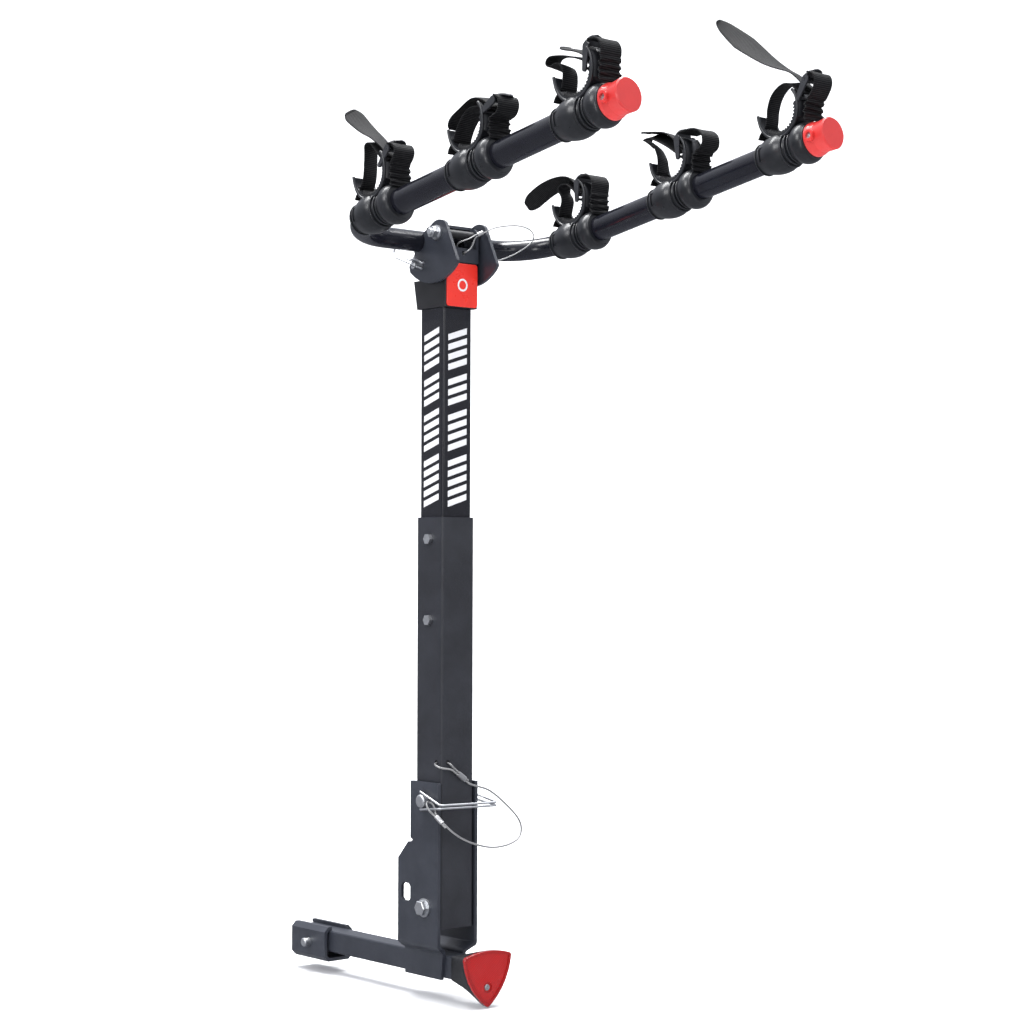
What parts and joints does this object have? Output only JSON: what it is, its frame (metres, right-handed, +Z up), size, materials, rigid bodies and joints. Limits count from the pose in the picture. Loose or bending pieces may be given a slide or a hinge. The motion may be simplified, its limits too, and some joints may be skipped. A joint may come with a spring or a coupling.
{
  "type": "hitch mounted bike rack",
  "caption": "Hitch-mounted bicycle carrier: tilting mast on a drawbar, fold-down forked arms with strap cradles, locking pins, safety lanyards and a rear reflector.",
  "frame": {"origin": "where the hitch bolt crosses the axis of the 2 inch drawbar adapter", "axes": "+X to the right of the vehicle, +Y towards the vehicle along the drawbar, +Z up; the arms reach towards -Y"},
  "size_m": [0.406, 0.8943, 1.3227],
  "materials": {
    "powder_black_steel": "textured black powder coat",
    "gloss_black_steel": "glossy black paint",
    "satin_black_steel": "satin black paint",
    "zinc_steel": "bright zinc plating",
    "cable_steel": "stranded steel cable under a clear coat",
    "ferrule_metal": "crimped aluminium",
    "cradle_plastic": "moulded charcoal plastic, worn bright at the rims",
    "black_plastic": "moulded black plastic",
    "cap_red": "moulded coral red plastic",
    "badge_red": "glossy red label",
    "reflector_red": "prismatic clear red",
    "pad_rubber": "ribbed black rubber",
    "webbing": "ribbed black nylon webbing",
    "buckle_plastic": "moulded charcoal plastic"
  },
  "bodies": {
    "base": {"hitch_adapter": "satin_black_steel", "hitch_bolt": "zinc_steel", "hitch_bolt_washer": "zinc_steel", "insert_tube": "satin_black_steel", "base_plate_left": "satin_black_steel", "base_plate_right": "satin_black_steel", "reflector_housing": "black_plastic", "reflector_lens": "reflector_red", "reflector_screw": "zinc_steel", "tilt_bolt": "zinc_steel", "tilt_nut": "zinc_steel", "tilt_washers": "zinc_steel", "tilt_spacers": "black_plastic"},
    "mast": {"tilt_bush": "black_plastic", "lower_mast_tube": "powder_black_steel", "upper_mast_tube": "gloss_black_steel", "mast_bolts": "zinc_steel", "mast_nuts": "zinc_steel", "mast_head": "satin_black_steel", "head_cover": "black_plastic", "head_badge": "badge_red", "arm_pivot_sleeve": "black_plastic", "lower_lanyard": "cable_steel", "upper_lanyard": "cable_steel", "lanyard_ferrules": "ferrule_metal"},
    "arms": {"arm_pivot_bolt": "zinc_steel", "arm_pivot_nut": "zinc_steel", "arm_pivot_spacers": "black_plastic", "arm_cheek_left": "satin_black_steel", "arm_cheek_right": "satin_black_steel", "cheek_bridge": "satin_black_steel", "crossbar_tube": "gloss_black_steel", "arm_tube_left": "gloss_black_steel", "arm_tube_right": "gloss_black_steel", "end_cap_left": "cap_red", "end_cap_right": "cap_red", "cap_screws": "zinc_steel", "cradle_left_1": "cradle_plastic", "cradle_left_2": "cradle_plastic", "cradle_left_3": "cradle_plastic", "cradle_right_1": "cradle_plastic", "cradle_right_2": "cradle_plastic", "cradle_right_3": "cradle_plastic", "cradle_pads_left": "pad_rubber", "cradle_pads_right": "pad_rubber", "strap_left_1": "webbing", "strap_left_2": "webbing", "strap_left_3": "webbing", "strap_right_1": "webbing", "strap_right_2": "webbing", "strap_right_3": "webbing", "strap_anchors_left": "webbing", "strap_anchors_right": "webbing", "buckles_left": "buckle_plastic", "buckles_right": "buckle_plastic"},
    "mast_lock_pin": {"mast_lock_pin": "zinc_steel"},
    "mast_lock_bail": {"mast_lock_bail": "zinc_steel"},
    "arm_lock_pin": {"arm_lock_pin": "zinc_steel"},
    "arm_lock_clip": {"arm_lock_clip": "zinc_steel"}
  },
  "joints": [
    {"name": "mast_tilt", "type": "hinge", "parent": "base", "child": "mast", "pos_m": [0, -0.29, 0.086], "axis": [1, 0, 0], "range_deg": [0, 60]},
    {"name": "arm_fold", "type": "hinge", "parent": "mast", "child": "arms", "pos_m": [0, -0.316, 1.0185], "axis": [1, 0, 0], "range_deg": [0, 99.5]},
    {"name": "mast_pin_slide", "type": "slide", "parent": "base", "child": "mast_lock_pin", "axis": [-1, 0, 0], "range_m": [0, 0.095]},
    {"name": "bail_slide", "type": "slide", "parent": "mast", "child": "mast_lock_bail", "axis": [0, -1, 0], "range_m": [0, 0.045]},
    {"name": "arm_pin_slide", "type": "slide", "parent": "arms", "child": "arm_lock_pin", "axis": [1, 0, 0], "range_m": [0, 0.1]},
    {"name": "clip_slide", "type": "slide", "parent": "arms", "child": "arm_lock_clip", "axis": [0, 0.9397, 0.342], "range_m": [0, 0.03]}
  ]
}
